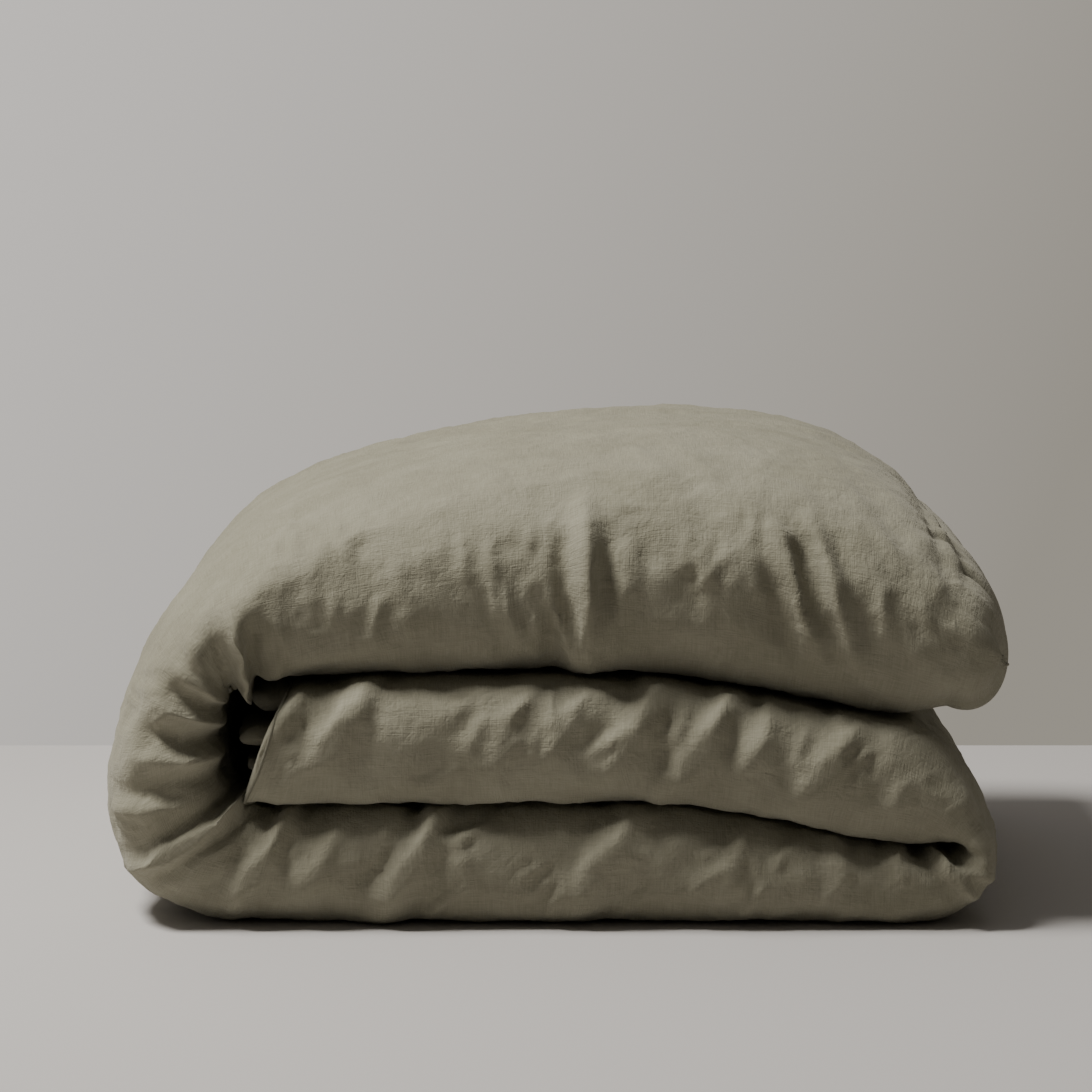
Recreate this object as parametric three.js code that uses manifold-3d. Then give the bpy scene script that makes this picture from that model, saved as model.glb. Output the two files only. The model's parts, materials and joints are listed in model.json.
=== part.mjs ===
// A double duvet in its cover, put away folded: quartered across its width, then folded in three along
// its length. Millimetres. +X to the right, +Y to the back, +Z up, origin under the middle of the bundle.
//
// The quartered duvet is a long strip of four plies. The strip starts at the free end of the middle
// section, turns down round the small right fold into the base section, and comes up round the big left
// fold into the top section. The left fold and the top section open as the two leaves of one flap.
import * as THREE from "three";
import { mergeVertices } from "three/addons/utils/BufferGeometryUtils.js";
import Module from "manifold-3d";

// Driving dimensions of the bundle.
const WIDTH = 700;
const DEPTH = 520;
const HEIGHT = 360;
const BASE_TOP = 98;
const MIDDLE_UNDERSIDE = 102;

// One ply of the duvet, from its middle outwards: filling, ticking (the insert's shell), cover.
const PLIES = 4;
const PLY_PITCH = 25;
const FILL_HALF = 9.6;
const TICKING = { inside: 10, outside: 10.6 };
const COVER = { inside: 11, outside: 11.9 };
const HALF_STACK = ((PLIES - 1) * PLY_PITCH) / 2 + COVER.outside;

// The open rim between the insert's edge and the cover's side seam.
const RIM = 17;
const SEAM_GAP = 0.4;
const SEAM_WALL = 0.9;

// Ends of the strip, along X.
const MIDDLE_END = -222;
const TOP_END = WIDTH / 2;
const PLACKET_WIDTH = 38;
const JOINT_GAP = 0.6;
const LAYER_GAP = 0.4;
const BINDING_WIDTH = 3.5;
const HEM = 1.8;
const BUTTON_RADIUS = 7.5;

// Centres that the strip turns around, as [x, z].
const LEFT_TURN = [-232, 157];
const RIGHT_TURN = [290, 64];
const LOWER_HINGE = [-WIDTH / 2, 0];
const UPPER_HINGE = [-WIDTH / 2, HEIGHT];

const linen = { color: 0x8a8470, roughness: 0.95, metalness: 0 };
const cotton = { color: 0xe9e4d8, roughness: 0.9, metalness: 0 };
const fibre = { color: 0xf3f0ea, roughness: 1, metalness: 0 };
const shell = { color: 0xcfc6b0, roughness: 0.45, metalness: 0 };

const wasm = await Module();
wasm.setup();

const duvet = new THREE.Group();
duvet.name = "folded_duvet";

function addMesh(name, geometry, look) {
  const mesh = new THREE.Mesh(geometry, new THREE.MeshStandardMaterial(look));
  mesh.name = name;
  duvet.add(mesh);
  return mesh;
}

// ---- The strip's path. A station is where the inner and the outer face of the stack lie in XZ. ----

function upright(x, low, high, outerIsUp) {
  return outerIsUp
    ? { inner: [x, low], outer: [x, high] }
    : { inner: [x, high], outer: [x, low] };
}

// The top section lies on the middle section along one plane, which falls to the right.
const contact = (x) => 192 - 0.055 * x;
const CONTACT_GAP = 1;

const middleAt = (x, low, high = contact(x)) => upright(x, low, high, true);
const topAt = (x, high, low = contact(x) + CONTACT_GAP) => upright(x, low, high, true);
const baseAt = (x, high) => upright(x, 0, high, false);

function ray([cx, cz], degrees, innerRadius, outerRadius, shift = 0) {
  const angle = THREE.MathUtils.degToRad(degrees);
  const dx = Math.cos(angle);
  const dz = Math.sin(angle);
  const at = (radius) => [cx + radius * dx + shift * dz, cz + radius * dz - shift * dx];
  return { inner: at(innerRadius), outer: at(outerRadius) };
}

function angleTo([cx, cz], [x, z]) {
  return THREE.MathUtils.radToDeg(Math.atan2(z - cz, x - cx));
}

const lowerMitre = angleTo(LEFT_TURN, LOWER_HINGE);
const upperMitre = angleTo(LEFT_TURN, UPPER_HINGE);
const leftTurn = (degrees, inner, outer, shift) => ray(LEFT_TURN, degrees, inner, outer, shift);
const rightTurn = (degrees, outer) => ray(RIGHT_TURN, degrees, 2, outer);

function lowerSections() {
  return [
    middleAt(MIDDLE_END, MIDDLE_UNDERSIDE),
    middleAt(130, 98),
    middleAt(225, 82, 173),
    rightTurn(90, 100),
    rightTurn(45, 78),
    rightTurn(8, 52),
    rightTurn(-35, 46),
    rightTurn(-90, 64),
    baseAt(170, 88),
    baseAt(-120, BASE_TOP),
    leftTurn(-90, LEFT_TURN[1] - BASE_TOP, LEFT_TURN[1]),
    leftTurn(-108, 50, 157),
    leftTurn(lowerMitre, 38, 153, -JOINT_GAP / 2),
  ];
}

function leftFold() {
  return [
    leftTurn(lowerMitre, 38, 153, JOINT_GAP / 2),
    leftTurn(-152, 26, 128),
    leftTurn(180, 18, 118),
    leftTurn(150, 28, 118),
    leftTurn(upperMitre, 58, 130, -JOINT_GAP / 2),
  ];
}

function topSection() {
  return [
    leftTurn(upperMitre, 58, 130, JOINT_GAP / 2),
    leftTurn(90, 50, 146),
    topAt(-140, 336),
    topAt(20, HEIGHT),
    topAt(150, 356),
    topAt(240, 334),
    topAt(310, 288),
    topAt(TOP_END, 246, 196),
  ];
}

// The place of a point of the stack, given by its X on the upright part of a path, its depth y, and its
// height n above the middle of the stack.
function inStack(path, x, y, n) {
  const after = path.findIndex((station, i) => i > 0 && station.inner[0] >= x);
  const a = path[after - 1];
  const b = path[after];
  const t = (x - a.inner[0]) / (b.inner[0] - a.inner[0]);
  const low = THREE.MathUtils.lerp(a.inner[1], b.inner[1], t);
  const high = THREE.MathUtils.lerp(a.outer[1], b.outer[1], t);
  return new THREE.Vector3(x, y, (low + high) / 2 + (n / HALF_STACK) * ((high - low) / 2));
}

// ---- The ply's path across the width, in (y, n). Its normal points to the face side of the cover. ----

const FRONT_TURN_Y = -DEPTH / 2 + HALF_STACK;
const BACK_TURN_Y = DEPTH / 2 - PLY_PITCH / 2 - COVER.outside;
const PLY_END_Y = DEPTH / 2 - RIM - 6;

function arc(centreY, centreN, radius, from, to, steps, side) {
  return Array.from({ length: steps + 1 }, (_, i) => {
    const angle = THREE.MathUtils.degToRad(THREE.MathUtils.lerp(from, to, i / steps));
    const normal = [Math.cos(angle), Math.sin(angle)];
    return {
      y: centreY + radius * normal[0],
      n: centreN + radius * normal[1],
      normal: normal.map((v) => v * side),
    };
  });
}

const plyPath = [
  { y: PLY_END_Y, n: 1.5 * PLY_PITCH, normal: [0, 1] },
  ...arc(FRONT_TURN_Y, 0, 1.5 * PLY_PITCH, 90, 270, 6, 1),
  ...arc(BACK_TURN_Y, -PLY_PITCH, PLY_PITCH / 2, -90, 90, 4, 1),
  ...arc(FRONT_TURN_Y, 0, PLY_PITCH / 2, 270, 90, 4, -1),
  { y: PLY_END_Y, n: 0.5 * PLY_PITCH, normal: [0, -1] },
];

// The ply's path moved sideways by offset, with both of its ends moved back by extra. Each point keeps
// its number along the path, by which sweep() cuts the same diagonal across every layer.
function offsetPath(offset, extra) {
  return plyPath.map(({ y, n, normal }, along) => {
    const isEnd = along === 0 || along === plyPath.length - 1;
    const point = new THREE.Vector2(y + offset * normal[0] + (isEnd ? extra : 0), n + offset * normal[1]);
    return Object.assign(point, { along });
  });
}

function band(low, high, extra) {
  return [...offsetPath(low, extra), ...offsetPath(high, extra).reverse()];
}

// One cover panel: it lies against one side of the ply and turns in to the side seam at both ends.
function panelOutline(side) {
  return [
    ...offsetPath(side * COVER.outside, RIM + SEAM_WALL),
    ...offsetPath((side * SEAM_GAP) / 2, RIM + SEAM_WALL).slice(-1),
    ...offsetPath((side * SEAM_GAP) / 2, RIM).slice(-1),
    ...offsetPath(side * COVER.inside, RIM).reverse(),
    ...offsetPath((side * SEAM_GAP) / 2, RIM).slice(0, 1),
    ...offsetPath((side * SEAM_GAP) / 2, RIM + SEAM_WALL).slice(0, 1),
  ];
}

// ---- Sweeping an outline, with or without a hole, along the stations of a path. ----

function placed(point, { inner, outer }) {
  const t = (point.y / HALF_STACK + 1) / 2;
  return [
    THREE.MathUtils.lerp(inner[0], outer[0], t),
    point.x,
    THREE.MathUtils.lerp(inner[1], outer[1], t),
  ];
}

function wound(loop, clockwise) {
  return THREE.ShapeUtils.isClockWise(loop) === clockwise ? loop : [...loop].reverse();
}

function sweep(outline, path, hole = []) {
  const loops = [wound(outline, false)];
  if (hole.length) loops.push(wound(hole, true));
  const points = loops.flat();
  const count = points.length;
  const positions = path.flatMap((station) => points.flatMap((point) => placed(point, station)));
  const faces = [];
  for (let ring = 0; ring < path.length - 1; ring++) {
    let first = 0;
    for (const loop of loops) {
      for (let i = 0; i < loop.length; i++) {
        const a = ring * count + first + i;
        const b = ring * count + first + ((i + 1) % loop.length);
        const forward = loop[i].along < loop[(i + 1) % loop.length].along;
        if (forward) faces.push(a, b, a + count, b, b + count, a + count);
        else faces.push(a, b, b + count, a, b + count, a + count);
      }
      first += loop.length;
    }
  }
  const lastRing = (path.length - 1) * count;
  for (const [a, b, c] of THREE.ShapeUtils.triangulateShape(loops[0], loops.slice(1))) {
    faces.push(a, c, b);
    faces.push(lastRing + a, lastRing + b, lastRing + c);
  }
  const geometry = new THREE.BufferGeometry();
  geometry.setAttribute("position", new THREE.Float32BufferAttribute(positions, 3));
  geometry.setIndex(faces);
  return geometry;
}

function toSolid(geometry) {
  const merged = mergeVertices(geometry, 1e-4);
  return new wasm.Manifold(
    new wasm.Mesh({
      numProp: 3,
      vertProperties: merged.attributes.position.array,
      triVerts: new Uint32Array(merged.index.array),
    }),
  );
}

function fromSolid(solid) {
  const { vertProperties, triVerts } = solid.getMesh();
  const geometry = new THREE.BufferGeometry();
  geometry.setAttribute("position", new THREE.BufferAttribute(new Float32Array(vertProperties), 3));
  geometry.setIndex(new THREE.BufferAttribute(new Uint32Array(triVerts), 1));
  return geometry;
}

// What lies between two values of X, above a given height.
function cutTo(geometry, fromX, toX, aboveZ) {
  const box = new THREE.BoxGeometry(toX - fromX, 2 * DEPTH, HEIGHT);
  box.translate((fromX + toX) / 2, 0, aboveZ + HEIGHT / 2);
  box.deleteAttribute("normal");
  box.deleteAttribute("uv");
  return [toSolid(geometry), toSolid(box)];
}

function keepBetween(geometry, fromX, toX, aboveZ) {
  const [solid, box] = cutTo(geometry, fromX, toX, aboveZ);
  return fromSolid(solid.intersect(box));
}

function removeBetween(geometry, fromX, toX, aboveZ) {
  const [solid, box] = cutTo(geometry, fromX, toX, aboveZ);
  return fromSolid(solid.subtract(box));
}

// ---- The long pieces: filling, ticking, and the cover's face and back panels. ----

const ABOVE_BASE = (BASE_TOP + MIDDLE_UNDERSIDE) / 2;
const COVER_START = MIDDLE_END + PLACKET_WIDTH + LAYER_GAP;
const BINDING_START = COVER_START + LAYER_GAP;
const INSERT_START = BINDING_START + BINDING_WIDTH + LAYER_GAP;
const BINDING_END = TOP_END - SEAM_WALL - LAYER_GAP;
const INSERT_END = BINDING_END - BINDING_WIDTH - LAYER_GAP;

const fillingOutline = band(-FILL_HALF, FILL_HALF, -1);
const tickingOutline = band(-TICKING.outside, TICKING.outside, 0.6);
const tickingHole = band(-TICKING.inside, TICKING.inside, -0.4);

const trimMiddle = (geometry, start) => removeBetween(geometry, MIDDLE_END - 1, start, ABOVE_BASE);
const trimTop = (geometry, end) => removeBetween(geometry, end, TOP_END + 1, 0);

function addLowerSections() {
  const path = lowerSections();
  addMesh("filling_lower_sections", trimMiddle(sweep(fillingOutline, path), INSERT_START), fibre);
  const ticking = sweep(tickingOutline, path, tickingHole);
  addMesh("ticking_lower_sections", trimMiddle(ticking, INSERT_START), cotton);
  addMesh("cover_face_lower_sections", trimMiddle(sweep(panelOutline(1), path), COVER_START), linen);
  addMesh("cover_back_lower_sections", trimMiddle(sweep(panelOutline(-1), path), COVER_START), linen);
}

function addLeftFold() {
  const path = leftFold();
  addMesh("filling_left_fold", sweep(fillingOutline, path), fibre);
  addMesh("ticking_left_fold", sweep(tickingOutline, path, tickingHole), cotton);
  addMesh("cover_face_left_fold", sweep(panelOutline(1), path), linen);
  addMesh("cover_back_left_fold", sweep(panelOutline(-1), path), linen);
}

// The top section's panels end in a wall each, where they are sewn together along the closed end.
function closedPanel(path, side) {
  const wallOutline = band((side * SEAM_GAP) / 2, side * COVER.outside, RIM);
  const wall = keepBetween(sweep(wallOutline, path), TOP_END - SEAM_WALL, TOP_END + 1, 0);
  return fromSolid(toSolid(sweep(panelOutline(side), path)).add(toSolid(wall)));
}

function addTopSection() {
  const path = topSection();
  addMesh("filling_top_section", trimTop(sweep(fillingOutline, path), INSERT_END), fibre);
  const ticking = sweep(tickingOutline, path, tickingHole);
  addMesh("ticking_top_section", trimTop(ticking, INSERT_END), cotton);
  addMesh("cover_face_top_section", closedPanel(path, 1), linen);
  addMesh("cover_back_top_section", closedPanel(path, -1), linen);
}

addLowerSections();
addLeftFold();
addTopSection();

// ---- The insert's bound edge at both ends of the strip. ----

const middlePath = lowerSections();
const topPath = topSection();
const middleSlice = (outline, fromX, toX) =>
  keepBetween(sweep(outline, middlePath), fromX, toX, ABOVE_BASE);
const middleBinding = middleSlice(tickingOutline, BINDING_START, BINDING_START + BINDING_WIDTH);
const topBinding = keepBetween(sweep(tickingOutline, topPath), BINDING_END - BINDING_WIDTH, BINDING_END, 0);
addMesh("edge_binding_middle_end", middleBinding, cotton);
addMesh("edge_binding_top_end", topBinding, cotton);

// ---- The cover's buttoned opening, at the free end of the middle section. ----

const UNDERLAP_LOW = -1;
const OVERLAP_LOW = 4.4;
const hemStrip = (low) => middleSlice(band(low, low + HEM, -8), MIDDLE_END, MIDDLE_END + PLACKET_WIDTH);
addMesh("placket_underlap", hemStrip(UNDERLAP_LOW), linen);
addMesh("placket_overlap", hemStrip(OVERLAP_LOW), linen);

function buttonGeometry() {
  const r = BUTTON_RADIUS;
  const profile = [[0, 0], [r - 0.6, 0], [r, 0.8], [r - 0.8, 1.9], [r - 2.4, 1.3], [0, 1.3]];
  const geometry = new THREE.LatheGeometry(profile.map(([x, y]) => new THREE.Vector2(x, y)), 12);
  return geometry.rotateX(Math.PI / 2);
}

// Each ply carries two buttons. face is +1 where the ply's face side is up.
const buttonPlies = [
  { n: 1.5 * PLY_PITCH, face: 1 },
  { n: 0.5 * PLY_PITCH, face: -1 },
  { n: -0.5 * PLY_PITCH, face: 1 },
  { n: -1.5 * PLY_PITCH, face: -1 },
];
buttonPlies.forEach(({ n, face }, ply) => {
  [-130, 120].forEach((y, i) => {
    const seat = OVERLAP_LOW + HEM + LAYER_GAP;
    const button = addMesh(`button_${2 * ply + i + 1}`, buttonGeometry(), shell);
    button.position.copy(inStack(middlePath, MIDDLE_END + PLACKET_WIDTH / 2, y, n + face * seat));
    if (face < 0) button.rotation.x = Math.PI;
  });
});

// ---- Corner loops on the insert, with the cover's ties through them, and the care label. ----

const LOOP = { outside: 4.2, inside: 3, width: 8 };

function loopGeometry() {
  const outline = new THREE.Shape();
  outline.absarc(0, 0, LOOP.outside, -Math.PI / 2, Math.PI / 2, false);
  outline.absarc(0, 0, LOOP.inside, Math.PI / 2, -Math.PI / 2, true);
  const options = { depth: LOOP.width, bevelEnabled: false, curveSegments: 6 };
  const geometry = new THREE.ExtrudeGeometry(outline, options);
  geometry.translate(0, 0, -LOOP.width / 2);
  return geometry.applyMatrix4(new THREE.Matrix4().set(0, 0, 1, 0, 1, 0, 0, 0, 0, 1, 0, 0, 0, 0, 0, 1));
}

// The tie comes out of the side seam, passes through the loop along X and goes back to the seam.
function tieGeometry() {
  const route = [[-15, 11, 0], [-11, 4.5, 0], [-4, 1.6, 0], [4, 1.6, 0], [11, 4.5, 0], [15, 11, 0]];
  const path = new THREE.CatmullRomCurve3(route.map((p) => new THREE.Vector3(...p)));
  const tape = new THREE.Shape([
    new THREE.Vector2(-1.6, -0.4),
    new THREE.Vector2(1.6, -0.4),
    new THREE.Vector2(1.6, 0.4),
    new THREE.Vector2(-1.6, 0.4),
  ]);
  return new THREE.ExtrudeGeometry(tape, { steps: 10, bevelEnabled: false, extrudePath: path });
}

function addCorner(number, corner) {
  const loop = addMesh(`insert_loop_${number}`, loopGeometry(), cotton);
  loop.position.copy(corner);
  const tie = addMesh(`cover_tie_${number}`, tieGeometry(), cotton);
  tie.position.copy(corner);
}

const cornerY = PLY_END_Y + 1;
addCorner(1, inStack(middlePath, -140, cornerY, 1.5 * PLY_PITCH));
addCorner(2, inStack(middlePath, -140, cornerY, 0.5 * PLY_PITCH));
addCorner(3, inStack(topPath, 285, cornerY, 1.5 * PLY_PITCH));
addCorner(4, inStack(topPath, 285, cornerY, 0.5 * PLY_PITCH));

const label = addMesh("care_label", new THREE.BoxGeometry(30, 12, 0.5), cotton);
label.position.copy(inStack(topPath, 220, PLY_END_Y + 8, 0.5 * PLY_PITCH));

export default duvet;
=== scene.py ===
"""A folded duvet in a linen cover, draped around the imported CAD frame. Metres, +Z up."""
import json
import math

import bpy
import numpy as np
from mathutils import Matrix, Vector


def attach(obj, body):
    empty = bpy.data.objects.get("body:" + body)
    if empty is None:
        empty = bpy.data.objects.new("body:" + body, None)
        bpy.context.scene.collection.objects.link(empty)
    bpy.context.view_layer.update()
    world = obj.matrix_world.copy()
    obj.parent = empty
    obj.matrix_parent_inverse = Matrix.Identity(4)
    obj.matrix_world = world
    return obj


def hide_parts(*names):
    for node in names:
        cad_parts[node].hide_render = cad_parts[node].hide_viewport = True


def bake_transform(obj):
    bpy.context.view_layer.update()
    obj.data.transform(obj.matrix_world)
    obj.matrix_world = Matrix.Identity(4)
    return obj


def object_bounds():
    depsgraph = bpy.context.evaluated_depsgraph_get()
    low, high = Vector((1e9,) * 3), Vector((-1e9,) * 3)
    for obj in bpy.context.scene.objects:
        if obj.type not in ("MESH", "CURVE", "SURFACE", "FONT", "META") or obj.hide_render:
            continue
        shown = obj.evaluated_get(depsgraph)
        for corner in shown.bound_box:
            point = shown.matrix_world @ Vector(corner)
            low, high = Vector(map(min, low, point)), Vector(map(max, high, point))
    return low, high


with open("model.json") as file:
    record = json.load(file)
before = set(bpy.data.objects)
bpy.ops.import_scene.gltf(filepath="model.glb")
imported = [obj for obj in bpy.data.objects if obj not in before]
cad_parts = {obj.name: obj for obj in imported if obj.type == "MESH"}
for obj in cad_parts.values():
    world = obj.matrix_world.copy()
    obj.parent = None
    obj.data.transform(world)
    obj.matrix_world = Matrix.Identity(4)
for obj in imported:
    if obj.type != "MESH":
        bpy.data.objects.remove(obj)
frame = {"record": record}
cad_low, cad_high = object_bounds()

# ---------------------------------------------------------------- driving values, in metres
LEFT, FRONT, FLOOR = cad_low
RIGHT, BACK, CROWN = cad_high
HALF_DEPTH = (BACK - FRONT) / 2
HALF_GIRTH = 0.60  # half of the way around the strip
CONTACT_GAP = 0.0008  # from a contact height to each of the two faces that lie there
FLOOR_GAP = 0.0005
BACK_ROUNDING = 0.02  # of the two corners at the back
TOP_SET_BACK = 0.035  # the share by which the top section is less deep
NOTCH_DEPTH = 0.012  # of the gaps between the ply ends at the back
SEED = 7

# The cloth: simulated in cells, drawn at half their size, and cut longer and wider than it lies.
CELL = 0.008
FINE_CELL = CELL / 2
SLACK_ALONG = 1.07
SLACK_ACROSS = 1.04
CLOTH_FRAMES = 24
CLOTH_PRESSURE = 0.8
CROWN_KEPT = 0.65  # how much of the sculpted crown comes back after the cloth has relaxed
SHAKE = 0.0010  # the uneven start that lets the cloth buckle
SHAKE_WAVELENGTH = 0.06
HEM_WIDTH = 0.020
HEM_STITCH = 0.0012  # how deep the row of stitches pulls in
HEM_STITCH_WIDTH = 0.003

# The strip is followed by station number, from the middle section's free end to the top section's. The
# last five values say where the faces start or stop lying on each other.
STATION_COUNTS = {"middle": 6, "right_fold": 5, "base": 5, "left_fold": 8, "top": 7}
SECTION_ENDS = np.cumsum(list(STATION_COUNTS.values()))[:-1] - 0.5
MIDDLE, RIGHT_FOLD, BASE, LEFT_FOLD, TOP = range(len(STATION_COUNTS))
MIDDLE_LEAVES_TOP = 6.5
MIDDLE_LEAVES_BASE = 7.6
BASE_MEETS_MIDDLE = 8.4
BASE_LEAVES_MIDDLE = 16.5
TOP_MEETS_MIDDLE = 23.5

# Stations where the left fold is cut into the two turns.
LOWER_TURN = 16.2
ROLL_MIDDLE = 19.5
UPPER_TURN = 23.0

# The rounded ends, the bound edges, the inner plies and the buttons.
HEAD_LENGTH = 0.004
HEAD_ROWS = 4
TAIL_LENGTH = 0.048
TAIL_ROWS = 16
TAIL_CORNER = 0.3
MIDDLE_BINDING_RADIUS = 0.0011
TOP_BINDING_RADIUS = 0.0012
PLY_LENGTH = 0.045
PLY_DEPTH = 0.44
PLY_ROWS = 60
PLY_AROUND = 28
PLY_CRUMPLE = 0.0015
PLY_WAVELENGTH = 0.03
BUTTON_RADIUS = 0.0075
BUTTON_HALF = 0.0011
BUTTON_PLACES = {"placket_button_1": (-0.184, -0.13, 0.19), "placket_button_2": (-0.184, 0.12, 0.19)}
LAST_BUTTON_STATION = 3  # the buttons are looked for before it

# Colours, light and camera.
LINEN_DARK = (0.186, 0.175, 0.120)
LINEN_LIGHT = (0.328, 0.313, 0.238)
LINEN_SHEEN = (0.85, 0.82, 0.72)
BUTTON_DARK = (0.16, 0.13, 0.09)
BUTTON_LIGHT = (0.34, 0.29, 0.21)
FLOOR_COLOUR = (0.52, 0.50, 0.48)
FLOOR_REACH = 6
FLOOR_BACK_EDGE = 0.56
WALL_BRIGHT = (0.740, 0.705, 0.672)
WALL_DIM = (0.330, 0.306, 0.262)
WALL_LIGHT = 0.62
ROOM_LIGHT = 0.02
KEY_PLACE = (-1.5, -0.38, 2.95)
KEY_TARGET = (0, 0, 0.1)
KEY_SIZE = 1.0
KEY_POWER = 146
KEY_COLOUR = (1.0, 0.98, 0.95)
CAMERA_PLACE = (-0.008, -3.2, 0.66)
CAMERA_DROP = 7.05  # degrees below the level
LENS = 129.5
SENSOR = 36


# ---------------------------------------------------------------- curves
def spline(points, samples):
    """Catmull-Rom curve through given points, as samples evenly spaced in the points' own count."""
    points = np.asarray(points, float)
    padded = np.vstack([2 * points[0] - points[1], points, 2 * points[-1] - points[-2]])
    place = np.linspace(0, len(points) - 1, samples)
    index = np.minimum(place.astype(int), len(points) - 2)
    t = (place - index)[:, None]
    a, b, c, d = (padded[index + k] for k in range(4))
    square = 2 * a - 5 * b + 4 * c - d
    cube = 3 * b - a - 3 * c + d
    return 0.5 * (2 * b + (c - a) * t + square * t**2 + cube * t**3)


def smoothstep(x, low, high):
    """0 below low, 1 above high, and an S-curve between them."""
    t = np.clip((x - low) / (high - low), 0, 1)
    return t * t * (3 - 2 * t)


def bump(x, centre, width):
    """A bell of height 1 at the centre."""
    return np.exp(-(((x - centre) / width) ** 2))


# ---------------------------------------------------------------- the strip's path
def base_contact(x):
    """Height where the middle section lies on the base."""
    return 0.093 - 0.032 * smoothstep(x, 0.06, 0.30)


def middle_contact(x):
    """Height where the top section lies on the middle."""
    return 0.191 - 0.037 * smoothstep(x, 0.04, 0.31) - 0.012 * smoothstep(-x, 0.13, 0.235)


def stations():
    """Stations of the folded strip: the inner face's x and z, the outer face's x and z, and
    how far in from the front the outer and the inner face round over."""
    middle = [(-0.238, base_contact(-0.23) + CONTACT_GAP, -0.206, 0.180, 0.045, 0.025)]
    for x in (-0.15, 0, 0.1, 0.19, 0.25):
        lean = 0.02 * smoothstep(x, 0.1, 0.28)
        low, high = base_contact(x) + CONTACT_GAP, middle_contact(x) - CONTACT_GAP
        middle.append((x, low, x + lean, high, 0.042, 0.030))
    right_fold = [
        (0.288, 0.0625, 0.312, 0.122, 0.070, 0.035),
        (0.306, 0.0615, 0.336, 0.080, 0.070, 0.030),
        (0.311, 0.0600, 0.3435, 0.054, 0.070, 0.030),
        (0.308, 0.0585, 0.334, 0.027, 0.060, 0.030),
        (0.295, 0.0575, 0.300, 0.004, 0.050, 0.035),
    ]
    base = [
        (x, base_contact(x) - CONTACT_GAP, x, 0.0, 0.040, 0.045)
        for x in (0.24, 0.17, 0.08, -0.05, -0.16)
    ]
    left_fold = [
        (-0.225, 0.092, -0.255, 0.000, 0.060, 0.050),
        (-0.243, 0.097, -0.312, 0.012, 0.080, 0.060),
        (-0.249, 0.105, -0.338, 0.036, 0.100, 0.060),
        (-0.257, 0.125, -0.350, 0.078, 0.110, 0.060),
        (-0.259, 0.150, -0.347, 0.128, 0.120, 0.060),
        (-0.257, 0.164, -0.332, 0.178, 0.130, 0.060),
        (-0.250, 0.176, -0.306, 0.230, 0.150, 0.060),
        (-0.234, 0.183, -0.262, 0.279, 0.180, 0.060),
    ]
    lying_tops = (
        (-0.17, -0.19, 0.316, 0.22),
        (-0.08, -0.09, 0.342, 0.24),
        (0.02, 0.02, 0.357, 0.25),
        (0.12, 0.12, 0.360, 0.25),
        (0.20, 0.213, 0.347, 0.25),
        (0.26, 0.278, 0.317, 0.24),
    )
    top = [(x, middle_contact(x) + CONTACT_GAP, *outer, 0.065) for x, *outer in lying_tops]
    top.append((0.302, 0.163, 0.318, 0.277, 0.20, 0.075))
    return middle + right_fold + base + left_fold + top


def half_section(rounding, half_height, steps):
    """Half of one section's outline, from the front middle over the face to the back middle, as depth and
    height from -1 to 1, in equal lengths of cloth."""
    angle = np.linspace(0, np.pi / 2, 60)
    rise = np.sin(angle) ** 0.9
    inset = 1 - np.cos(angle) ** 0.9
    depth = np.concatenate([-HALF_DEPTH + rounding * inset, HALF_DEPTH - BACK_ROUNDING * inset[::-1]])
    height = np.concatenate([rise, rise[::-1]])
    run = np.hypot(np.diff(depth), np.diff(height) * half_height)
    run = np.concatenate([[0], np.cumsum(run)])
    at = np.linspace(0, run[-1], steps + 1)
    return np.interp(at, run, depth) / HALF_DEPTH, np.interp(at, run, height)


def section(outer_rounding, inner_rounding, half_height, steps):
    """The whole outline: over the outer face to the back, then along the inner face to the front again."""
    depth_out, height_out = half_section(outer_rounding, half_height, steps)
    depth_in, height_in = half_section(inner_rounding, half_height, steps)
    depth = np.concatenate([depth_out, depth_in[-2:0:-1]])
    return depth, np.concatenate([height_out, -height_in[-2:0:-1]])


def ply_notches(depth, height):
    """The three groups of ply ends at the back: two single plies over the folded pair."""
    gaps = bump(height, 0.5, 0.10) + bump(height, 0.0, 0.12)
    return NOTCH_DEPTH * gaps * smoothstep(depth, 0.90, 0.99)


def build_strip():
    """The strip lofted through its stations: a grid of points, each point's place in its section, and each
    row's station number and distance along the strip."""
    table = np.array(stations())
    path = spline(table, 60 * len(table))
    middle_line = (path[:, 0:2] + path[:, 2:4]) / 2
    outer_run = np.hypot(*np.diff(path[:, 2:4], axis=0).T)
    middle_run = np.hypot(*np.diff(middle_line, axis=0).T)
    run = np.concatenate([[0], np.cumsum(np.maximum(outer_run, middle_run))])
    rows = int(run[-1] / CELL)
    at = np.linspace(0, run[-1], rows)
    path = np.stack([np.interp(at, run, column) for column in path.T], axis=1)
    knot = np.interp(at, run, np.linspace(0, len(table) - 1, len(run)))
    half_height = np.hypot(path[:, 2] - path[:, 0], path[:, 3] - path[:, 1]) / 2
    reach = 1 - TOP_SET_BACK * smoothstep(knot, 22, 24)
    steps = int(HALF_GIRTH / CELL)
    grid = np.zeros((rows, 2 * steps, 3))
    sections = np.zeros((rows, 2 * steps, 2))
    for row in range(rows):
        depth, height = section(path[row, 4], path[row, 5], half_height[row], steps)
        t = ((height + 1) / 2)[:, None]
        xz = path[row, 0:2] * (1 - t) + path[row, 2:4] * t
        grid[row, :, 0] = xz[:, 0]
        grid[row, :, 1] = depth * HALF_DEPTH * reach[row] - ply_notches(depth, height)
        grid[row, :, 2] = xz[:, 1]
        sections[row] = np.stack([depth, height], axis=1)
    return grid, sections, knot, at


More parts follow.
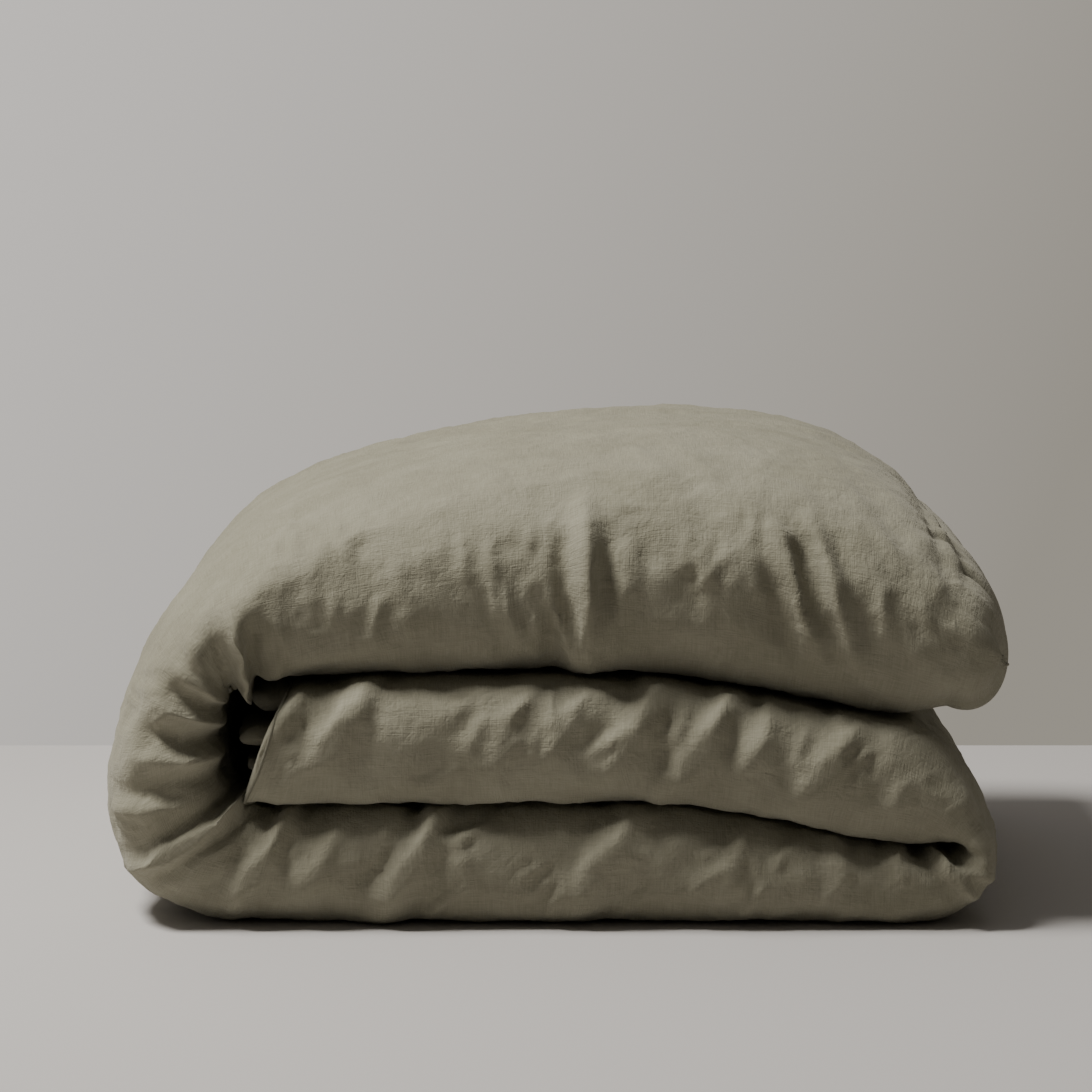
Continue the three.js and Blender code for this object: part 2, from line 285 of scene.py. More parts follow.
# ---------------------------------------------------------------- cloth
def unrolled(grid, sections, knot, along):
    """The same strip laid out straight: the lengths that the cloth was cut to. It is a little longer and
    wider than the folded strip, and skewed along the front, so that it gathers into slanting folds."""
    depth, height = sections[..., 0], sections[..., 1]
    travel = np.interp(knot, [0, 7, 9, 16, 20, 24, 30], [1, 1, -1, -1, 0, 1, 1])[:, None]
    lean = np.interp(knot, [0, 7, 9, 17, 21, 24, 30], [0.32, 0.32, 0.36, 0.30, 0, 0.10, 0.16])[:, None]
    front = 1 - smoothstep(depth, -0.96, -0.74)
    tall = grid[..., 2] - grid[..., 2].mean(axis=1, keepdims=True)
    offset = np.hypot(*(grid - grid.mean(axis=1, keepdims=True))[..., ::2].transpose(2, 0, 1))
    flat = np.zeros_like(grid)
    flat[..., 0] = along[:, None] * SLACK_ALONG - lean * travel * tall * front
    flat[..., 1] = grid[..., 1] * SLACK_ACROSS
    flat[..., 2] = offset * np.sign(height + 1e-9) * SLACK_ACROSS
    return flat


def waves(points, wavelength, random, count=24):
    """Smooth random field over the points, about -1 to 1: a sum of waves in random directions."""
    total = np.zeros(points.shape[:-1])
    for _ in range(count):
        direction = random.normal(size=3)
        direction /= np.linalg.norm(direction)
        turns = 2 * np.pi / (wavelength * random.uniform(0.7, 1.5))
        total += np.sin(points @ direction * turns + random.uniform(0, 2 * np.pi))
    return total / math.sqrt(count / 2)


def pin_weights(sections, knot):
    """How firmly each point is held: the faces hidden in the stack and, half as firmly, the ply ends."""
    depth, height = sections[..., 0], sections[..., 1]
    section_of = np.searchsorted(SECTION_ENDS, knot)[:, None]
    inside = smoothstep(depth, -0.84, -0.76)
    faces_up = smoothstep(height, 0.90, 0.97)
    faces_down = smoothstep(-height, 0.90, 0.97)
    hidden = np.where(section_of == MIDDLE, faces_up + faces_down, 0.0)
    hidden = np.where(section_of == RIGHT_FOLD, faces_down, hidden)
    hidden = np.where(section_of == BASE, faces_up + faces_down, hidden)
    hidden = np.where(section_of == LEFT_FOLD, 0.3 * faces_down, hidden)
    hidden = np.where(section_of == TOP, faces_down, hidden)
    back = 0.5 * smoothstep(depth, 0.80, 0.93)
    return np.clip(np.maximum(hidden * inside, back), 0, 1)


def relax(grid, rest, pins):
    """Blender's cloth from the sculpted grid towards its rest lengths; the result replaces the grid."""
    obj = make_mesh("cloth_work", grid, close_start=True, close_end=True)
    obj.shape_key_add(name="Basis")
    key = obj.shape_key_add(name="rest")
    key.data.foreach_set("co", rest.reshape(-1).astype(np.float32))
    key.value = 0
    group = obj.vertex_groups.new(name="pins")
    flat_pins = pins.reshape(-1)
    for level in np.unique(np.round(flat_pins, 2)):
        if level > 0:
            chosen = np.nonzero(np.round(flat_pins, 2) == level)[0]
            group.add([int(i) for i in chosen], float(level), "REPLACE")
    cloth = obj.modifiers.new("cloth", "CLOTH")
    settings = cloth.settings
    settings.quality = 5
    settings.mass = 0.25
    settings.tension_stiffness = settings.compression_stiffness = 20
    settings.shear_stiffness = 12
    settings.bending_stiffness = 0.2
    settings.tension_damping = settings.compression_damping = settings.shear_damping = 8
    settings.air_damping = 3
    settings.use_pressure = True
    settings.uniform_pressure_force = CLOTH_PRESSURE
    settings.vertex_group_mass = "pins"
    settings.pin_stiffness = 6
    settings.rest_shape_key = key
    settings.effector_weights.gravity = 0.0
    cloth.collision_settings.use_collision = False
    cloth.point_cache.frame_end = CLOTH_FRAMES
    scene = bpy.context.scene
    for number in range(1, CLOTH_FRAMES + 1):
        scene.frame_set(number)
    evaluated = obj.evaluated_get(bpy.context.evaluated_depsgraph_get())
    moved = np.zeros(grid.size, np.float32)
    evaluated.data.vertices.foreach_get("co", moved)
    bpy.data.objects.remove(obj)
    scene.frame_set(1)
    return moved.reshape(grid.shape).astype(float)


# ---------------------------------------------------------------- after the cloth: finer, settled, creased
def doubled(values, wrap):
    """Twice as many rows, by cubic interpolation between them; wrap joins the last row to the first."""
    if wrap:
        before, after, further = np.roll(values, 1, 0), np.roll(values, -1, 0), np.roll(values, -2, 0)
    else:
        before = np.concatenate([values[:1], values[:-1]])
        after = np.concatenate([values[1:], values[-1:]])
        further = np.concatenate([after[1:], after[-1:]])
    between = (9 * (values + after) - before - further) / 16
    out = np.empty((2 * len(values), *values.shape[1:]))
    out[0::2] = values
    out[1::2] = between
    return out if wrap else out[:-1]


def refined(rows, around=True):
    """A row array at half the cell size, along the strip and, when it has points around, around it too."""
    fine = doubled(rows, wrap=False)
    if around:
        fine = doubled(fine.swapaxes(0, 1), wrap=True).swapaxes(0, 1)
    return fine


def normals(grid):
    """The outward direction at every point of a tube of rows."""
    along = np.gradient(grid, axis=0)
    across = np.roll(grid, -1, axis=1) - np.roll(grid, 1, axis=1)
    normal = np.cross(across, along)
    return normal / np.maximum(np.linalg.norm(normal, axis=-1, keepdims=True), 1e-12)


def settle(grid, sections, knot):
    """Nothing sinks into the floor or through the faces that lie on each other."""
    x, z, height = grid[..., 0], grid[..., 2], sections[..., 1]
    knot = knot[:, None]
    low = np.full_like(z, FLOOR + FLOOR_GAP)
    high = np.full_like(z, CROWN + 0.012)
    on_base = (knot < MIDDLE_LEAVES_BASE) & (height < 0)
    low = np.where(on_base, np.maximum(low, base_contact(x) + CONTACT_GAP), low)
    under_top = (knot < MIDDLE_LEAVES_TOP) & (height > 0)
    high = np.where(under_top, middle_contact(x) - CONTACT_GAP, high)
    under_middle = (knot > BASE_MEETS_MIDDLE) & (knot < BASE_LEAVES_MIDDLE) & (height < 0)
    high = np.where(under_middle, base_contact(x) - CONTACT_GAP, high)
    on_middle = (knot > TOP_MEETS_MIDDLE) & (height < 0)
    low = np.where(on_middle, middle_contact(x) + CONTACT_GAP, low)
    out = grid.copy()
    out[..., 2] = np.clip(z, low, high)
    out[..., 0] = np.clip(x, LEFT - 0.002, RIGHT + 0.002)
    out[..., 1] = np.clip(grid[..., 1], FRONT - 0.004, BACK + 0.004)
    return out


# Creases in the front, placed where the cloth is pulled into the folds: from x, z to x, z, then
# depth and width.
MIDDLE_CREASES = [
    (-0.190, 0.184, -0.218, 0.146, 0.006, 0.009),
    (-0.132, 0.206, -0.190, 0.116, 0.008, 0.014),
    (-0.012, 0.194, -0.070, 0.108, 0.004, 0.017),
    (0.086, 0.200, 0.030, 0.108, 0.008, 0.014),
    (0.140, 0.190, 0.078, 0.092, 0.009, 0.013),
    (0.172, 0.174, 0.128, 0.098, 0.004, 0.011),
    (0.234, 0.164, 0.178, 0.086, 0.007, 0.014),
    (0.268, 0.120, 0.250, 0.084, 0.003, 0.010),
]
BASE_CREASES = [
    (-0.190, 0.108, -0.256, 0.006, 0.009, 0.010),
    (-0.156, 0.094, -0.202, 0.014, 0.004, 0.010),
    (-0.078, 0.110, -0.140, 0.002, 0.012, 0.012),
    (0.074, 0.110, 0.002, 0.002, 0.007, 0.016),
    (0.150, 0.086, 0.118, 0.016, 0.004, 0.016),
    (0.206, 0.078, 0.222, 0.036, 0.005, 0.009),
    (0.256, 0.074, 0.266, 0.030, 0.004, 0.009),
]
RIGHT_FOLD_CREASES = [
    (0.272, 0.074, 0.326, 0.020, 0.010, 0.006),
    (0.312, 0.066, 0.348, 0.074, 0.006, 0.007),
    (0.306, 0.048, 0.338, 0.036, 0.004, 0.005),
]
LEFT_FOLD_CREASES = [
    (-0.216, 0.108, -0.338, 0.035, 0.015, 0.007),
    (-0.246, 0.130, -0.330, 0.132, 0.009, 0.010),
    (-0.288, 0.098, -0.346, 0.086, 0.006, 0.009),
    (-0.250, 0.152, -0.312, 0.178, 0.008, 0.010),
    (-0.250, 0.168, -0.292, 0.204, 0.007, 0.007),
    (-0.262, 0.176, -0.280, 0.230, 0.005, 0.006),
    (-0.237, 0.166, -0.246, 0.244, 0.017, 0.007),
]
TOP_CREASES = [
    (0.022, 0.322, 0.026, 0.186, 0.015, 0.013),
    (0.056, 0.302, 0.042, 0.200, 0.005, 0.010),
    (-0.040, 0.270, -0.034, 0.228, 0.005, 0.007),
    (-0.006, 0.264, 0.018, 0.192, 0.008, 0.008),
    (0.166, 0.306, 0.210, 0.188, 0.012, 0.012),
    (0.194, 0.312, 0.236, 0.184, 0.010, 0.011),
    (0.246, 0.268, 0.250, 0.210, 0.004, 0.009),
    (0.300, 0.300, 0.322, 0.235, 0.003, 0.008),
]


def press_creases(grid, creases, rows, reach):
    """Press a list of creases into the rows given, on the front and as far back as reach lets them."""
    normal = normals(grid)
    for x0, z0, x1, z1, depth, width in creases:
        length = math.hypot(x1 - x0, z1 - z0)
        along = np.array([(x1 - x0) / length, (z1 - z0) / length])
        offset = grid[..., ::2] - np.array([x0, z0])
        t = offset @ along / length
        beside = (offset[..., 0] * along[1] - offset[..., 1] * along[0]) / width
        beside = beside * (1.3 - 0.6 * np.clip(t, 0, 1))
        taper = smoothstep(t, -0.12, 0.30) * (1 - smoothstep(t, 0.65, 1.08))
        valley = np.exp(-1.4 * np.abs(beside) ** 1.4)
        ridges = 0.50 * bump(beside, 1.5, 0.9) + 0.35 * bump(beside, -1.5, 0.8)
        grid = grid + normal * (depth * taper * (ridges - valley) * rows[:, None] * reach)[..., None]
    return grid


def stray_creases(count, low, high, lean, random):
    """Small creases scattered over part of the front, leaning by about the angle given, in degrees."""
    creases = []
    for _ in range(count):
        x = random.uniform(low[0], high[0])
        z = random.uniform(low[1], high[1])
        angle = math.radians(lean + random.normal() * 16)
        length = random.uniform(0.018, 0.050)
        x_end, z_end = x - length * math.sin(angle), z - length * math.cos(angle)
        depth = random.uniform(0.0010, 0.0030)
        width = random.uniform(0.004, 0.007)
        creases.append((x, z, x_end, z_end, depth, width))
    return creases


def crease_front(grid, sections, knot):
    """The placed creases and the stray ones, pressed section by section, and the furrows over the crown."""
    random = np.random.default_rng(SEED + 2)
    # How far back the creases reach, by depth, and where each section's creases fade, by station.
    front = 1 - smoothstep(sections[..., 0], -0.86, -0.60)
    dome = 1 - smoothstep(sections[..., 0], -0.5, 0.1)
    middle = 1 - smoothstep(knot, 7.2, 8.0)
    base = smoothstep(knot, 8.0, 9.0) * (1 - smoothstep(knot, 16.5, 17.5))
    left = smoothstep(knot, 15, 16.5) * (1 - smoothstep(knot, 24, 25))
    top = smoothstep(knot, 22.5, 23.5)
    # Strays by section: how many, from x, z to x, z, and their lean.
    strays_middle = stray_creases(34, (-0.20, 0.12), (0.30, 0.19), 38, random)
    strays_base = stray_creases(34, (-0.24, 0.03), (0.28, 0.09), 38, random)
    strays_left = stray_creases(12, (-0.33, 0.06), (-0.26, 0.22), 75, random)
    strays_top = stray_creases(40, (-0.22, 0.22), (0.20, 0.32), -4, random)
    strays_end = stray_creases(22, (0.12, 0.20), (0.32, 0.32), -26, random)
    grid = press_creases(grid, MIDDLE_CREASES + strays_middle, middle, front)
    grid = press_creases(grid, BASE_CREASES + strays_base, base, front)
    grid = press_creases(grid, RIGHT_FOLD_CREASES, bump(knot, 9.5, 1.8), front)
    grid = press_creases(grid, LEFT_FOLD_CREASES + strays_left, left, front)
    grid = press_creases(grid, TOP_CREASES + strays_top + strays_end, top, dome)
    return press_furrows(grid, sections, knot)


# Long shallow furrows over the crown, where the cover is pulled along the strip: y, from x, to x, depth
# and width.
FURROWS = [
    (0.130, 0.14, 0.34, 0.004, 0.035),
    (0.010, -0.13, 0.02, 0.0020, 0.008),
    (-0.075, -0.08, 0.05, 0.0018, 0.007),
    (0.160, -0.10, 0.16, 0.0025, 0.012),
]


def press_furrows(grid, sections, knot):
    """Press the furrows into the top section's upper face."""
    over = smoothstep(knot, 23, 24.5)[:, None] * smoothstep(sections[..., 1], 0.2, 0.6)
    for y, x0, x1, depth, width in FURROWS:
        run = smoothstep(grid[..., 0], x0, x0 + 0.06) * (1 - smoothstep(grid[..., 0], x1 - 0.06, x1))
        line = y + 0.006 * np.sin(grid[..., 0] / 0.045)
        grid = grid - normals(grid) * (depth * over * run * bump(grid[..., 1], line, width))[..., None]
    return grid


def crumple(grid, random):
    """Fine creasing of washed linen: sharp valleys between rounded pads, in three sizes."""
    height = np.zeros(grid.shape[:2])
    for wavelength, size in ((0.060, 0.0008), (0.026, 0.0005), (0.013, 0.0003)):
        height += size * (np.abs(waves(grid, wavelength, random)) - 0.6)
    return grid + normals(grid) * height[..., None]


# ---------------------------------------------------------------- closing the two free ends
def close_pillow(grid, length, rows, corner):
    """Rows that round off the strip's last row into a seam along its middle, length further on. The corners
    at the front and back come forward less, by the share corner."""
    last, step = grid[-1], grid[-1] - grid[-3]
    direction = step.mean(axis=0)
    direction /= np.linalg.norm(direction)
    mirror = (-np.arange(grid.shape[1])) % grid.shape[1]
    seam = (last + last[mirror]) / 2
    middle = seam[:, 1].mean()
    reach = np.abs(seam[:, 1] - middle) / HALF_DEPTH
    advance = length * (1 - corner * smoothstep(reach, 0.70, 1.0))
    out = []
    for k in range(1, rows + 1):
        angle = k / rows * math.pi / 2
        squeeze = max(math.cos(angle), 0.02)
        row = seam + (last - seam) * squeeze + direction * (advance * math.sin(angle))[:, None]
        pull_in = 0.25 * corner * math.sin(angle) ** 2 * smoothstep(reach, 0.70, 1.0)
        row[:, 1] -= (seam[:, 1] - middle) * pull_in
        out.append(row)
    return np.concatenate([grid, out])


def make_mesh(name, rows, close_start=False, close_end=False):
    """A tube of quads from rows of points; a closed end is zipped across, point against mirror point."""
    count, around = rows.shape[:2]
    number = np.arange(count * around).reshape(count, around)
    beside = np.roll(number, -1, axis=1)
    quads = np.stack([number[:-1], number[1:], beside[1:], beside[:-1]], axis=-1).reshape(-1, 4).tolist()
    half = around // 2
    for closed, ring, turn in ((close_start, number[0], 1), (close_end, number[-1], -1)):
        if not closed:
            continue
        for i in range(1, half - 1):
            quad = [ring[i], ring[i + 1], ring[-i - 1], ring[-i]]
            quads.append(quad[::turn])
        quads.append([ring[0], ring[1], ring[-1]][::turn])
        quads.append([ring[half - 1], ring[half], ring[half + 1]][::turn])
    mesh = bpy.data.meshes.new(name)
    mesh.from_pydata(rows.reshape(-1, 3).tolist(), [], [[int(i) for i in q] for q in quads])
    mesh.update()
    obj = bpy.data.objects.new(name, mesh)
    bpy.context.collection.objects.link(obj)
    mesh.polygons.foreach_set("use_smooth", [True] * len(mesh.polygons))
    return obj


def lay_cloth(obj, rows, start):
    """Cloth coordinates in metres for the weave: along the strip, and around it from the front both ways."""
    count, around = rows.shape[:2]
    pitch = 2 * HALF_GIRTH / around
    mesh = obj.data
    vertex = np.zeros(len(mesh.loops), int)
    mesh.loops.foreach_get("vertex_index", vertex)
    row, column = vertex // around, vertex % around
    corner = np.zeros((len(mesh.loops), 3), np.float32)
    corner[:, 0] = (start + row) * FINE_CELL
    tube = 4 * (count - 1) * around
    quad_column = (np.arange(tube) // 4) % around
    past = (column[:tube] == 0) & (quad_column == around - 1)
    column[:tube] = np.where(past, around, column[:tube])
    signed = np.where(quad_column >= around // 2, column[:tube] - around, column[:tube])
    corner[:tube, 1] = signed * pitch
    corner[tube:, 1] = np.minimum(column[tube:], around - column[tube:]) * pitch
    attribute = mesh.attributes.new("cloth", "FLOAT_VECTOR", "CORNER")
    attribute.data.foreach_set("vector", corner.reshape(-1))


def bead(name, points, radius, closed, sides=8):
    """A thin round edge along a line of points."""
    points = np.asarray(points)
    after = np.roll(points, -1, 0) - np.roll(points, 1, 0)
    if not closed:
        after[0], after[-1] = points[1] - points[0], points[-1] - points[-2]
    after /= np.linalg.norm(after, axis=1, keepdims=True)
    side = np.cross(after, (1.0, 0.0, 0.15))
    side /= np.linalg.norm(side, axis=1, keepdims=True)
    up = np.cross(side, after)
    turn = np.linspace(0, 2 * np.pi, sides, endpoint=False)
    ring = np.cos(turn)[None, :, None] * side[:, None] + np.sin(turn)[None, :, None] * up[:, None]
    rows = points[:, None] + radius * ring
    if closed:
        rows = np.concatenate([rows, rows[:1]])
    return make_mesh(name, rows, close_start=not closed, close_end=not closed), rows


def button(name, place, normal, sides=32):
    """A turned button with a raised rim, lying flat on the cloth at a place."""
    across = np.cross(normal, (0.0, 1.0, 0.0))
    across /= np.linalg.norm(across)
    other = np.cross(normal, across)
    top_profile = ((0.03, 0.3), (0.30, 0.3), (0.60, 0.4), (0.72, 1.0), (0.90, 1.0))
    under_profile = ((1.0, 0.3), (0.92, -1.0), (0.03, -1.0))
    turn = np.linspace(0, 2 * np.pi, sides, endpoint=False)
    ring = np.cos(turn)[:, None] * across + np.sin(turn)[:, None] * other
    centre = place + normal * BUTTON_HALF
    profile = top_profile + under_profile
    rows = [centre + BUTTON_RADIUS * out * ring + BUTTON_HALF * up * normal for out, up in profile]
    return make_mesh(name, np.array(rows), close_start=True, close_end=True)


# ---------------------------------------------------------------- materials
def node(tree, kind, links=None, **settings):
    """A shader node with its properties set and its inputs linked or given a value."""
    made = tree.nodes.new(kind)
    for name, value in settings.items():
        setattr(made, name, value)
    for name, value in (links or {}).items():
        if isinstance(value, bpy.types.NodeSocket):
            tree.links.new(value, made.inputs[name])
        else:
            made.inputs[name].default_value = value
    return made


def stretched_noise(tree, place, scale, detail=2.0):
    """Noise with its own scale along, around and through the cloth."""
    mapping = node(tree, "ShaderNodeMapping", {"Vector": place, "Scale": scale})
    links = {"Vector": mapping.outputs[0], "Scale": 1.0, "Detail": detail}
    return node(tree, "ShaderNodeTexNoise", links).outputs[0]


def ridged_noise(tree, place, scale):
    """Noise folded about its middle value, so that it has sharp valleys."""
    centred = math_node(tree, "SUBTRACT", stretched_noise(tree, place, scale, 3), 0.5)
    return math_node(tree, "ABSOLUTE", centred)


def math_node(tree, operation, *values):
    """The output of one math node with the values given."""
    return node(tree, "ShaderNodeMath", dict(enumerate(values)), operation=operation).outputs[0]


def linen_material():
    """Stonewashed linen: long slubs along both threads, soft mottling and a fine crinkle."""
    material = bpy.data.materials.new("washed_linen")
    material.use_nodes = True
    tree = material.node_tree
    shader = tree.nodes["Principled BSDF"]
    place = node(tree, "ShaderNodeAttribute", attribute_name="cloth").outputs["Vector"]
    warp = stretched_noise(tree, place, (45, 1100, 1), 3)
    weft = stretched_noise(tree, place, (1100, 45, 1), 3)
    thread = math_node(tree, "ADD", warp, weft)
    mottle = stretched_noise(tree, place, (14, 14, 1), 4)
    crinkle = ridged_noise(tree, place, (95, 80, 1))
    crumbs = ridged_noise(tree, place, (230, 260, 1))
    thread_tone = math_node(tree, "MULTIPLY", thread, 0.32)
    tone = math_node(tree, "ADD", thread_tone, math_node(tree, "MULTIPLY", mottle, 0.36))
    ramp = node(tree, "ShaderNodeValToRGB", {"Fac": tone})
    ramp.color_ramp.elements[0].position = 0.30
    ramp.color_ramp.elements[0].color = (*LINEN_DARK, 1)
    ramp.color_ramp.elements[1].position = 0.70
    ramp.color_ramp.elements[1].color = (*LINEN_LIGHT, 1)
    tree.links.new(ramp.outputs[0], shader.inputs["Base Color"])
    creasing = math_node(tree, "MULTIPLY_ADD", crumbs, 0.35, crinkle)
    relief = math_node(tree, "MULTIPLY_ADD", thread, 0.22, creasing)
    links = {"Height": relief, "Strength": 0.75, "Distance": 0.0028}
    tree.links.new(node(tree, "ShaderNodeBump", links).outputs[0], shader.inputs["Normal"])
    shader.inputs["Roughness"].default_value = 0.92
    shader.inputs["Specular IOR Level"].default_value = 0.25
    shader.inputs["Sheen Weight"].default_value = 0.20
    shader.inputs["Sheen Roughness"].default_value = 0.55
    shader.inputs["Sheen Tint"].default_value = (*LINEN_SHEEN, 1)
    return material


def button_material():
    """Dull corozo nut: pale brown with fine grain."""
    material = bpy.data.materials.new("corozo")
    material.use_nodes = True
    tree = material.node_tree
    shader = tree.nodes["Principled BSDF"]
    place = node(tree, "ShaderNodeTexCoord").outputs["Object"]
    grain = stretched_noise(tree, place, (900, 260, 260), 3)
    ramp = node(tree, "ShaderNodeValToRGB", {"Fac": grain})
    ramp.color_ramp.elements[0].color = (*BUTTON_DARK, 1)
    ramp.color_ramp.elements[1].color = (*BUTTON_LIGHT, 1)
    tree.links.new(ramp.outputs[0], shader.inputs["Base Color"])
    shader.inputs["Roughness"].default_value = 0.45
    return material


# ---------------------------------------------------------------- stage, light and camera
def plain(name, colour, roughness=0.9):
    """A material of one colour."""
    material = bpy.data.materials.new(name)
    material.use_nodes = True
    shader = material.node_tree.nodes["Principled BSDF"]
    shader.inputs["Base Color"].default_value = (*colour, 1)
    shader.inputs["Roughness"].default_value = roughness
    return material


def key_light():
    """One soft round light from the upper left."""
    data = bpy.data.lights.new("key", "AREA")
    data.shape = "DISK"
    data.size = KEY_SIZE
    data.energy = KEY_POWER
    data.color = KEY_COLOUR
    light = bpy.data.objects.new("key", data)
    light.location = KEY_PLACE
    light.rotation_euler = (Vector(KEY_TARGET) - Vector(KEY_PLACE)).to_track_quat("-Z", "Y").to_euler()
    bpy.context.collection.objects.link(light)


def build_stage():
    """The pale floor, whose back edge is the line between floor and wall, and the key light."""
    mesh = bpy.data.meshes.new("floor")
    near = [(-FLOOR_REACH, -FLOOR_REACH, FLOOR), (FLOOR_REACH, -FLOOR_REACH, FLOOR)]
    far = [(FLOOR_REACH, FLOOR_BACK_EDGE, FLOOR), (-FLOOR_REACH, FLOOR_BACK_EDGE, FLOOR)]
    mesh.from_pydata(near + far, [], [(0, 1, 2, 3)])
    floor = bpy.data.objects.new("floor", mesh)
    bpy.context.collection.objects.link(floor)
    mesh.materials.append(plain("pale_floor", FLOOR_COLOUR))
    key_light()


def build_world():
    """A pale wall that falls off from left to right; the light it gives is weaker than it looks."""
    world = bpy.data.worlds.new("studio")
    world.use_nodes = True
    bpy.context.scene.world = world
    tree = world.node_tree
    direction = node(tree, "ShaderNodeTexCoord").outputs["Generated"]
    split = node(tree, "ShaderNodeSeparateXYZ", {0: direction})
    across = math_node(tree, "MULTIPLY_ADD", split.outputs["X"], 2.4, 0.5)
    fall_off = math_node(tree, "SUBTRACT", across, split.outputs["Z"])
    ramp = node(tree, "ShaderNodeValToRGB", {"Fac": fall_off})
    ramp.color_ramp.elements[0].position = 0.12
    ramp.color_ramp.elements[0].color = (*WALL_BRIGHT, 1)
    ramp.color_ramp.elements[1].position = 0.92
    ramp.color_ramp.elements[1].color = (*WALL_DIM, 1)
    seen = node(tree, "ShaderNodeLightPath").outputs["Is Camera Ray"]
    behind = math_node(tree, "MULTIPLY_ADD", split.outputs["Y"], WALL_LIGHT / 2, WALL_LIGHT / 2 + ROOM_LIGHT)
    strength = math_node(tree, "MAXIMUM", seen, behind)
    background = tree.nodes["Background"]
    tree.links.new(ramp.outputs[0], background.inputs["Color"])
    tree.links.new(strength, background.inputs["Strength"])


def build_camera():
    """The photograph's viewpoint: level, in front, looking down a few degrees."""
    data = bpy.data.cameras.new("camera")
    data.lens = LENS
    data.sensor_width = SENSOR
    camera = bpy.data.objects.new("camera", data)
    camera.location = CAMERA_PLACE
    camera.rotation_euler = (math.radians(90 - CAMERA_DROP), 0, 0)
    bpy.context.collection.objects.link(camera)
    bpy.context.scene.camera = camera


# ---------------------------------------------------------------- the duvet
def drape_strip():
    """The whole folded strip at half the cell size, and the station number of each row."""
    grid, sections, knot, along = build_strip()
    random = np.random.default_rng(SEED)
    pins = pin_weights(sections, knot)[..., None]
    rest = unrolled(grid, sections, knot, along)
    shaken = grid + SHAKE * np.stack([waves(grid, SHAKE_WAVELENGTH, random) for _ in range(3)], axis=-1)
    draped = relax(shaken * (1 - pins) + grid * pins, rest, pins[..., 0])
    crown = CROWN_KEPT * smoothstep(sections[..., 0], -0.75, -0.30) * smoothstep(knot, 21, 24)[:, None]
    grid = draped + (grid - draped) * crown[..., None]
    grid, sections, knot = refined(grid), refined(sections), refined(knot, around=False)
    grid = settle(grid, sections, knot)
    grid = crease_front(grid, sections, knot)
    grid = crumple(grid, np.random.default_rng(SEED))
    hem = HEM_STITCH * bump(np.arange(len(grid)) * FINE_CELL, HEM_WIDTH, HEM_STITCH_WIDTH)
    grid = grid - normals(grid) * hem[:, None, None]
    return settle(grid, sections, knot), knot


def ply_end(name, x, z, thickness, front, random):
    """One inner ply of the quartered duvet, standing out of the middle section's free end."""
    angle = np.linspace(0, 2 * np.pi, PLY_AROUND, endpoint=False)
    rows = []
    for t in np.linspace(0, 1, PLY_ROWS):
        round_off = math.sqrt(max(1 - max(0, 1 - t / 0.06) ** 2, 0.003))
        y = front + PLY_DEPTH * t
        shape_x = np.sign(np.cos(angle)) * np.abs(np.cos(angle)) ** 0.8 * PLY_LENGTH / 2 * round_off
        shape_z = np.sin(angle) * thickness / 2 * round_off
        rows.append(np.stack([x + PLY_LENGTH / 2 + shape_x, np.full(PLY_AROUND, y), z + shape_z], axis=1))
    rows = np.array(rows)
    rows += PLY_CRUMPLE * np.stack([waves(rows, PLY_WAVELENGTH, random) for _ in range(3)], axis=-1)
    return make_mesh(name, rows, close_start=True, close_end=True), rows


def row_at(knot, station):
    """The number of the first row past a station."""
    return int(np.searchsorted(knot, station))


def rounded_ends(strip):
    """The strip with a short rounded head on the middle section and a pillow's end on the top section."""
    head = close_pillow(strip[::-1], HEAD_LENGTH, HEAD_ROWS, 0.0)[::-1][:HEAD_ROWS]
    return close_pillow(np.concatenate([head, strip]), TAIL_LENGTH, TAIL_ROWS, TAIL_CORNER)


def cut_strip(whole, cuts):
    """The four pieces that the strip is cut into. Neighbours share the row of points at the cut."""
    lower, roll, upper = cuts
    spans = {
        "duvet_lower_sections": (0, lower, True, False),
        "duvet_lower_turn": (lower, roll, False, False),
        "duvet_upper_turn": (roll, upper, False, False),
        "duvet_top_section": (upper, len(whole) - 1, False, True),
    }
    pieces = {}
    for name, (first, last, close_start, close_end) in spans.items():
        rows = whole[first : last + 1]
        pieces[name] = make_mesh(name, rows, close_start, close_end)
        lay_cloth(pieces[name], rows, first)
    return pieces


def bound_edges(whole):
    """The bindings: a ring around the middle section's free end, and a line along the top section's seam."""
    half = whole.shape[1] // 2
    last = whole[-1]
    seam = (last[: half + 1] + last[-np.arange(half + 1)]) / 2
    edges = {
        "middle_end_binding": (whole[HEAD_ROWS], MIDDLE_BINDING_RADIUS, True),
        "top_end_binding": (seam, TOP_BINDING_RADIUS, False),
    }
    pieces = {}
    for name, (line, radius, closed) in edges.items():
        pieces[name], rows = bead(name, line, radius, closed)
        lay_cloth(pieces[name], rows, 0)
    return pieces


def inner_plies():
    """Three ply ends in the left fold's hollow: x, z, thickness and where the front begins."""
    random = np.random.default_rng(SEED + 1)
    places = {
        "inner_ply_low": (-0.242, 0.118, 0.016, -0.222),
        "inner_ply_mid": (-0.246, 0.143, 0.015, -0.232),
        "inner_ply_high": (-0.240, 0.170, 0.018, -0.205),
    }
    pieces = {}
    for name, (x, z, thickness, front) in places.items():
        pieces[name], rows = ply_end(name, x, z, thickness, front, random)
        lay_cloth(pieces[name], rows, 0)
    return pieces


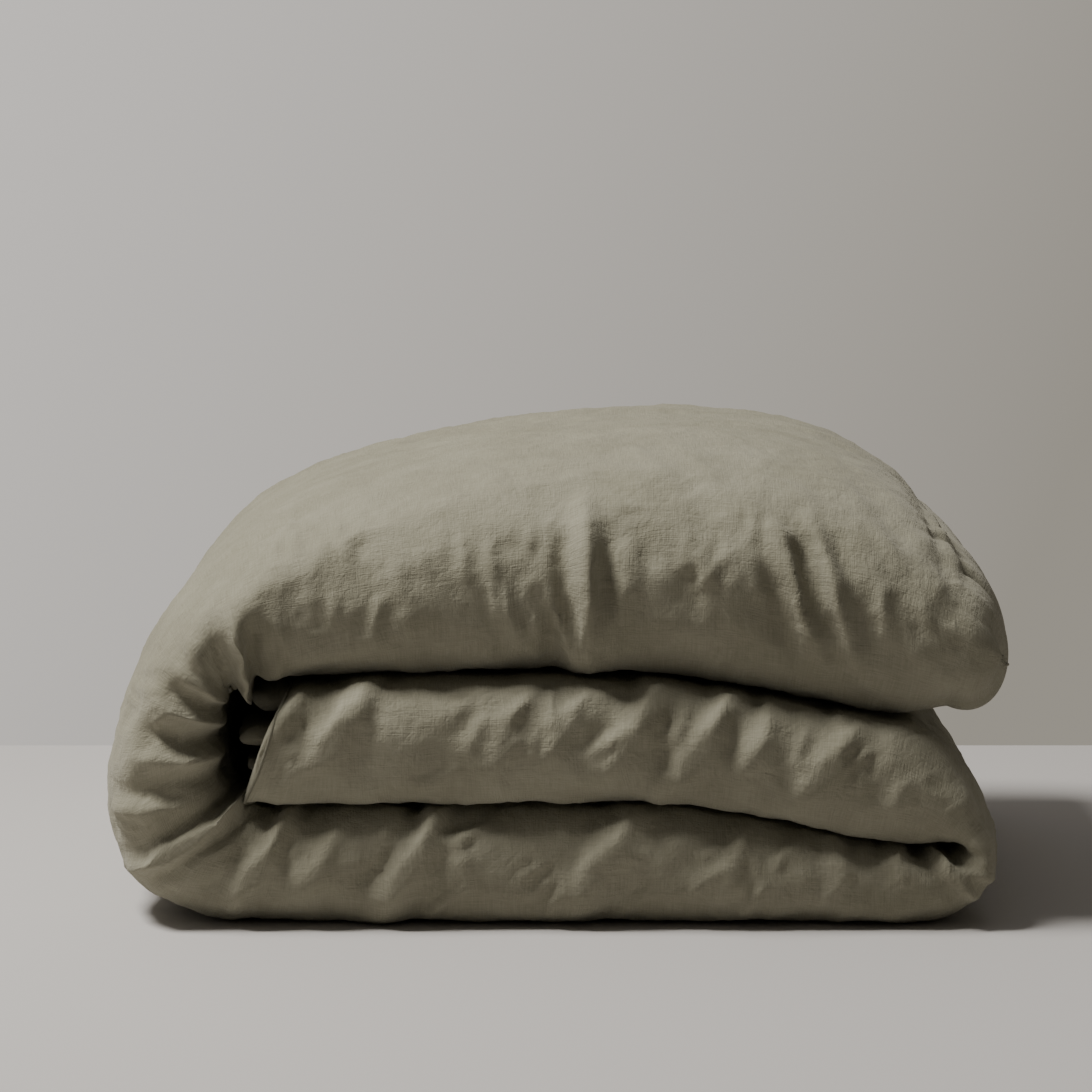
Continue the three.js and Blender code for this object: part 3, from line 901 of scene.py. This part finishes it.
def placket_buttons(strip, knot):
    """The opening's two outer buttons, each on the point of the middle section nearest to its place."""
    outward = normals(strip)
    pieces = {}
    for name, place in BUTTON_PLACES.items():
        near = np.linalg.norm(strip[: row_at(knot, LAST_BUTTON_STATION)] - np.array(place), axis=-1)
        spot = np.unravel_index(near.argmin(), near.shape)
        pieces[name] = button(name, strip[spot], outward[spot])
    return pieces


def dress(pieces, material):
    """Give every piece the material, as the slot of that name."""
    for piece in pieces.values():
        piece.data.materials.append(material)


def bend_turn(piece):
    """The turn's placement is baked into its points; nothing bends it."""
    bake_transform(piece)


def ride_bodies(pieces):
    """Everything but the two turns moves with one body."""
    for name, piece in pieces.items():
        if name in ("duvet_top_section", "top_end_binding"):
            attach(piece, "top_section")
        elif not name.endswith("turn"):
            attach(piece, "lower_sections")


def stand_for_cad():
    """Hide the CAD nodes that the visual pieces stand for."""
    bodies = frame["record"]["behaviour"]["bodies"]
    shown = ("edge_binding_middle_end", "button_1", "button_2")
    inside_lower = [name for name in bodies["lower_sections"] if name not in shown]
    inside_top = [name for name in bodies["top_section"] if name != "edge_binding_top_end"]
    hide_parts(*inside_lower)
    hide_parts(*inside_top)
    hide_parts("button_1")
    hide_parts("button_2")
    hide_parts("edge_binding_middle_end")
    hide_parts("edge_binding_top_end")
    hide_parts(*bodies["left_fold"])


def build_duvet():
    """The draped strip, cut into pieces, dressed, and tied to the frame's bodies."""
    strip, knot = drape_strip()
    whole = rounded_ends(strip)
    cuts = [row_at(knot, station) + HEAD_ROWS for station in (LOWER_TURN, ROLL_MIDDLE, UPPER_TURN)]
    pieces = cut_strip(whole, cuts) | bound_edges(whole) | inner_plies()
    dress(pieces, linen_material())
    buttons = placket_buttons(strip, knot)
    dress(buttons, button_material())
    pieces |= buttons
    lower, upper = pieces["duvet_lower_turn"], pieces["duvet_upper_turn"]
    bend_turn(lower)
    bend_turn(upper)
    ride_bodies(pieces)
    stand_for_cad()


build_camera()
build_stage()
build_world()
build_duvet()
